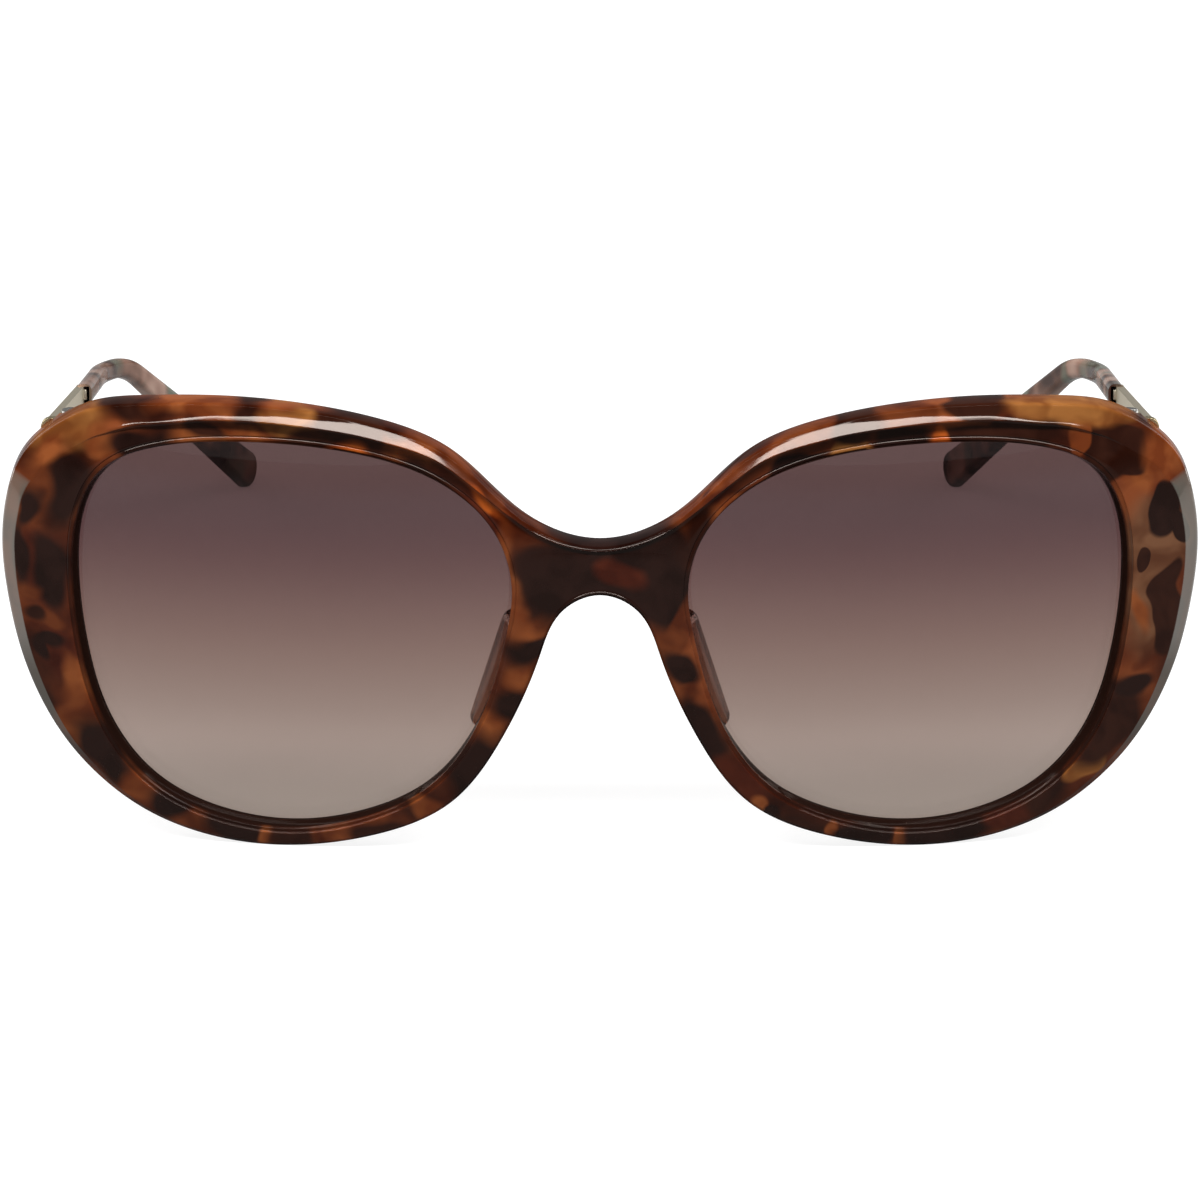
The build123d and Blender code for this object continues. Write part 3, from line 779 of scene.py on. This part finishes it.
# where the side facets get the painted grey sheen, 0 to 1
facet_sheen_weight = [
    float(np.interp(z + 1.2 * (half_width - x), (13.0, 19.0, 47.0, 48.0), (0, 1, 1, 0)))
    * float(np.interp(x / half_width, (0.86, 0.92), (0, 1)))
    for x, z in outline
]
plain = [0.0] * len(outline)
marks = {
    "wall": [[1.0] * len(outline) if count < wall_rings else
             ledge_painted_shade if count < ledge_rings else plain for count in range(len(rings))],
    "facet": [facet_sheen_weight if crest_rings <= count < band_end else plain
              for count in range(len(rings))],
    "worn": [[1.0 - facet for facet in facet_sheen_weight] if edge_start <= count < edge_end else plain
             for count in range(len(rings))],
}
bm = bmesh.new()
loft(bm, rings, marks)
on_middle = [face for face in bm.faces if all(abs(v.co.x) < 1e-7 for v in face.verts)]
bmesh.ops.delete(bm, geom=on_middle, context="FACES")
bmesh.ops.dissolve_degenerate(bm, edges=bm.edges, dist=1e-7)
bmesh.ops.mirror(bm, geom=bm.verts[:] + bm.edges[:] + bm.faces[:], axis="X", merge_dist=1e-6)
bmesh.ops.remove_doubles(bm, verts=bm.verts, dist=1e-6)
bmesh.ops.recalc_face_normals(bm, faces=bm.faces)
finished(bm, "front", "front", front_acetate, ("frame_front",))


# ---- lenses
lens_shares, _ = resample(opening_shape, [(0,)] * len(opening_shape), 200, closed=True)


def lens(side):
    """One lens: two caps of one dished shell, joined by a rounded edge that sits in the groove."""
    rings = []
    middle = (lens_near + lens_far) / 2
    reaches = [(reach, (lens_grow - lens_round - lens_bead) * reach)
               for reach in np.linspace(0, 1, lens_rings)]
    reaches.append((1.0, lens_grow - lens_round))
    for depth, order_out in ((lens_near, reaches), (lens_far, reaches[::-1])):
        for reach, grow in order_out:
            rings.append([wall_place(share * reach, depth, grow) for share in lens_shares])
    edge = []
    for turn in (60, 90, 120):
        depth = middle - (lens_far - lens_near) / 2 * math.cos(math.radians(turn))
        grow = lens_grow - lens_round * (1 - math.sin(math.radians(turn)))
        edge.append([wall_place(share, depth, grow) for share in lens_shares])
    rings[lens_rings + 1 : lens_rings + 1] = edge
    bm = bmesh.new()
    loft(bm, rings, {})
    bmesh.ops.scale(bm, vec=(side, 1, 1), verts=bm.verts)
    bmesh.ops.recalc_face_normals(bm, faces=bm.faces)
    name = "tinted_lens_left" if side > 0 else "tinted_lens_right"
    replaced = "lens_left" if side > 0 else "lens_right"
    return finished(bm, name, "front", lens_material, (replaced,))


lens(1)
lens(-1)

# ---- lugs behind the front's corners, which carry the hinge plates
lug_width = 6.2
lug_height = 8.2
lug_back = 14.8             # behind the foremost point of the front
lug_start = 11.5
lug_corner = 1.2
lug_centre = 1.3            # outwards from the pin axis


def hinge_lug(side):
    """A block of the front's own sheet, rounded, and cut off along the front's edge."""
    bm = bmesh.new()
    bmesh.ops.create_cube(bm, size=1.0)
    bmesh.ops.scale(bm, vec=(lug_width, lug_back - lug_start, lug_height), verts=bm.verts)
    centre = (hinge.x + lug_centre, face_y + (lug_start + lug_back) / 2, hinge.z)
    bmesh.ops.translate(bm, vec=centre, verts=bm.verts)
    upright = [e for e in bm.edges if abs(e.verts[0].co.y - e.verts[1].co.y) > 1]
    bmesh.ops.bevel(bm, geom=upright, offset=lug_corner, affect="EDGES", segments=6,
                    profile=0.5, material=-1)
    chord = outline[(outline[:, 0] > 65.0) & (outline[:, 1] > 47.0)]
    first = Vector((chord[0][0], 0, chord[0][1]))
    last = Vector((chord[-1][0], 0, chord[-1][1]))
    out = Vector((first.z - last.z, 0, last.x - first.x)).normalized()
    cut = bmesh.ops.bisect_plane(bm, geom=bm.verts[:] + bm.edges[:] + bm.faces[:],
                                 plane_co=first, plane_no=out, clear_outer=True)["geom_cut"]
    open_edges = [e for e in cut if isinstance(e, bmesh.types.BMEdge)]
    bmesh.ops.edgeloop_fill(bm, edges=open_edges)
    back = [e for e in bm.edges
            if all(abs(v.co.y - face_y - lug_back) < 1e-4 for v in e.verts)]
    bmesh.ops.bevel(bm, geom=back, offset=0.3, affect="EDGES", segments=3, profile=0.5,
                    material=-1)
    bmesh.ops.scale(bm, vec=(side * MM, MM, MM), verts=bm.verts)
    bmesh.ops.recalc_face_normals(bm, faces=bm.faces)
    name = "hinge_lug_left" if side > 0 else "hinge_lug_right"
    return finished(bm, name, "front", front_acetate)


hinge_lug(1)
hinge_lug(-1)

# ---- camera: level with the table's far edge, looking a little down on the glasses
camera_distance = 0.8
camera_pitch = math.radians(18.8)
camera_target = Vector((0, face_y, 30.1)) * MM
camera = bpy.data.objects.new("camera", bpy.data.cameras.new("camera"))
bpy.context.scene.collection.objects.link(camera)
camera.location = camera_target + camera_distance * Vector(
    (0, -math.cos(camera_pitch), math.sin(camera_pitch)))
camera.rotation_euler = (math.pi / 2 - camera_pitch, 0, 0)
camera.data.lens = 199.9
camera.data.sensor_width = 36.0
camera.data.shift_y = 22 / 1200
camera.data.clip_start = 0.01
bpy.context.scene.camera = camera

# ---- floor, lamps and world
paper_glow = 0.87           # on top of the lamps' light, so that the paper shows as white
lit_from = 0.10             # the paper beside the glasses is mirrored bright from here, in
lit_full = 0.12             # metres off the middle, to here,
lit_middle = 0.02           # and to both sides of this y
lit_reach = 0.12
lit_reach_full = 0.09
sky_light = 0.14            # light from all round
sky_mirrored = 0.22         # what the pieces mirror of it


def seen_plainly(tree):
    """A light path node, and 1 for rays from the camera or straight on through a lens."""
    path = node(tree, "ShaderNodeLightPath")
    direct = node(tree, "ShaderNodeMath", {0: path.outputs["Is Camera Ray"],
                                           1: path.outputs["Is Transmission Ray"]},
                  operation="MAXIMUM")
    return path, direct.outputs[0]


bm = bmesh.new()
bmesh.ops.create_grid(bm, x_segments=1, y_segments=1, size=10.0)
floor_mesh = bpy.data.meshes.new("floor")
bm.to_mesh(floor_mesh)
bm.free()
floor = bpy.data.objects.new("floor", floor_mesh)
bpy.context.scene.collection.objects.link(floor)
paper, tree = new_material("white paper sweep")
path, direct = seen_plainly(tree)
spot = node(tree, "ShaderNodeTexCoord")
spot = node(tree, "ShaderNodeSeparateXYZ", {0: spot.outputs["Object"]})
across = node(tree, "ShaderNodeMath", {0: spot.outputs["X"]}, operation="ABSOLUTE")
aside = node(tree, "ShaderNodeMapRange", {"Value": across.outputs[0],
                                          "From Min": lit_from, "From Max": lit_full})
along_y = node(tree, "ShaderNodeMath", {0: spot.outputs["Y"], 1: lit_middle},
               operation="SUBTRACT")
along_y = node(tree, "ShaderNodeMath", {0: along_y.outputs[0]}, operation="ABSOLUTE")
level = node(tree, "ShaderNodeMapRange", {"Value": along_y.outputs[0],
                                          "From Min": lit_reach, "From Max": lit_reach_full})
sides = node(tree, "ShaderNodeMath", {0: aside.outputs[0], 1: level.outputs[0]},
             operation="MULTIPLY")
sides = node(tree, "ShaderNodeMath", {0: sides.outputs[0], 1: path.outputs["Is Glossy Ray"]},
             operation="MULTIPLY")
shown = node(tree, "ShaderNodeMath", {0: direct, 1: sides.outputs[0]}, operation="MAXIMUM")
lift = node(tree, "ShaderNodeMath", {0: shown.outputs[0], 1: paper_glow},
            operation="MULTIPLY")
matt = node(tree, "ShaderNodeBsdfDiffuse", {"Color": colour("#888888")})
glow = node(tree, "ShaderNodeEmission", {"Color": colour("#ffffff"),
                                         "Strength": lift.outputs[0]})
mixed = node(tree, "ShaderNodeAddShader", {0: matt.outputs[0], 1: glow.outputs[0]})
surface(tree, mixed)
floor_mesh.materials.append(paper)

world = bpy.data.worlds.new("studio")
world.use_nodes = True
world.node_tree.nodes.clear()
tree = world.node_tree
path, direct = seen_plainly(tree)
mirrored = node(tree, "ShaderNodeMath", {0: path.outputs["Is Glossy Ray"], 1: sky_mirrored},
                operation="MULTIPLY")
shown = node(tree, "ShaderNodeMath", {0: direct, 1: mirrored.outputs[0]},
             operation="MAXIMUM")
strength = node(tree, "ShaderNodeMath", {0: shown.outputs[0], 1: sky_light},
                operation="MAXIMUM")
sky = node(tree, "ShaderNodeBackground", {"Color": colour("#ffffff"),
                                          "Strength": strength.outputs[0]})
node(world.node_tree, "ShaderNodeOutputWorld", {"Surface": sky.outputs[0]})
bpy.context.scene.world = world


def lamp(name, place, aim, size, power):
    """A rectangular softbox at a place, turned to face another; all in metres and watts."""
    light = bpy.data.lights.new(name, "AREA")
    light.shape = "RECTANGLE"
    light.size, light.size_y = size
    light.energy = power
    holder = bpy.data.objects.new(name, light)
    bpy.context.scene.collection.objects.link(holder)
    holder.location = place
    holder.rotation_euler = (Vector(aim) - Vector(place)).to_track_quat("-Z", "Y").to_euler()


lamp("overhead softbox", (0, -0.45, 0.75), (0, -0.07, 0.03), (1.5, 0.11), 15.5)
lamp("left side box", (-0.42, 0.22, 0.16), (-0.07, -0.05, 0.03), (0.3, 0.3), 1.6)
lamp("right side box", (0.42, 0.22, 0.16), (0.07, -0.05, 0.03), (0.3, 0.3), 1.6)

bpy.context.scene.view_settings.view_transform = "Standard"
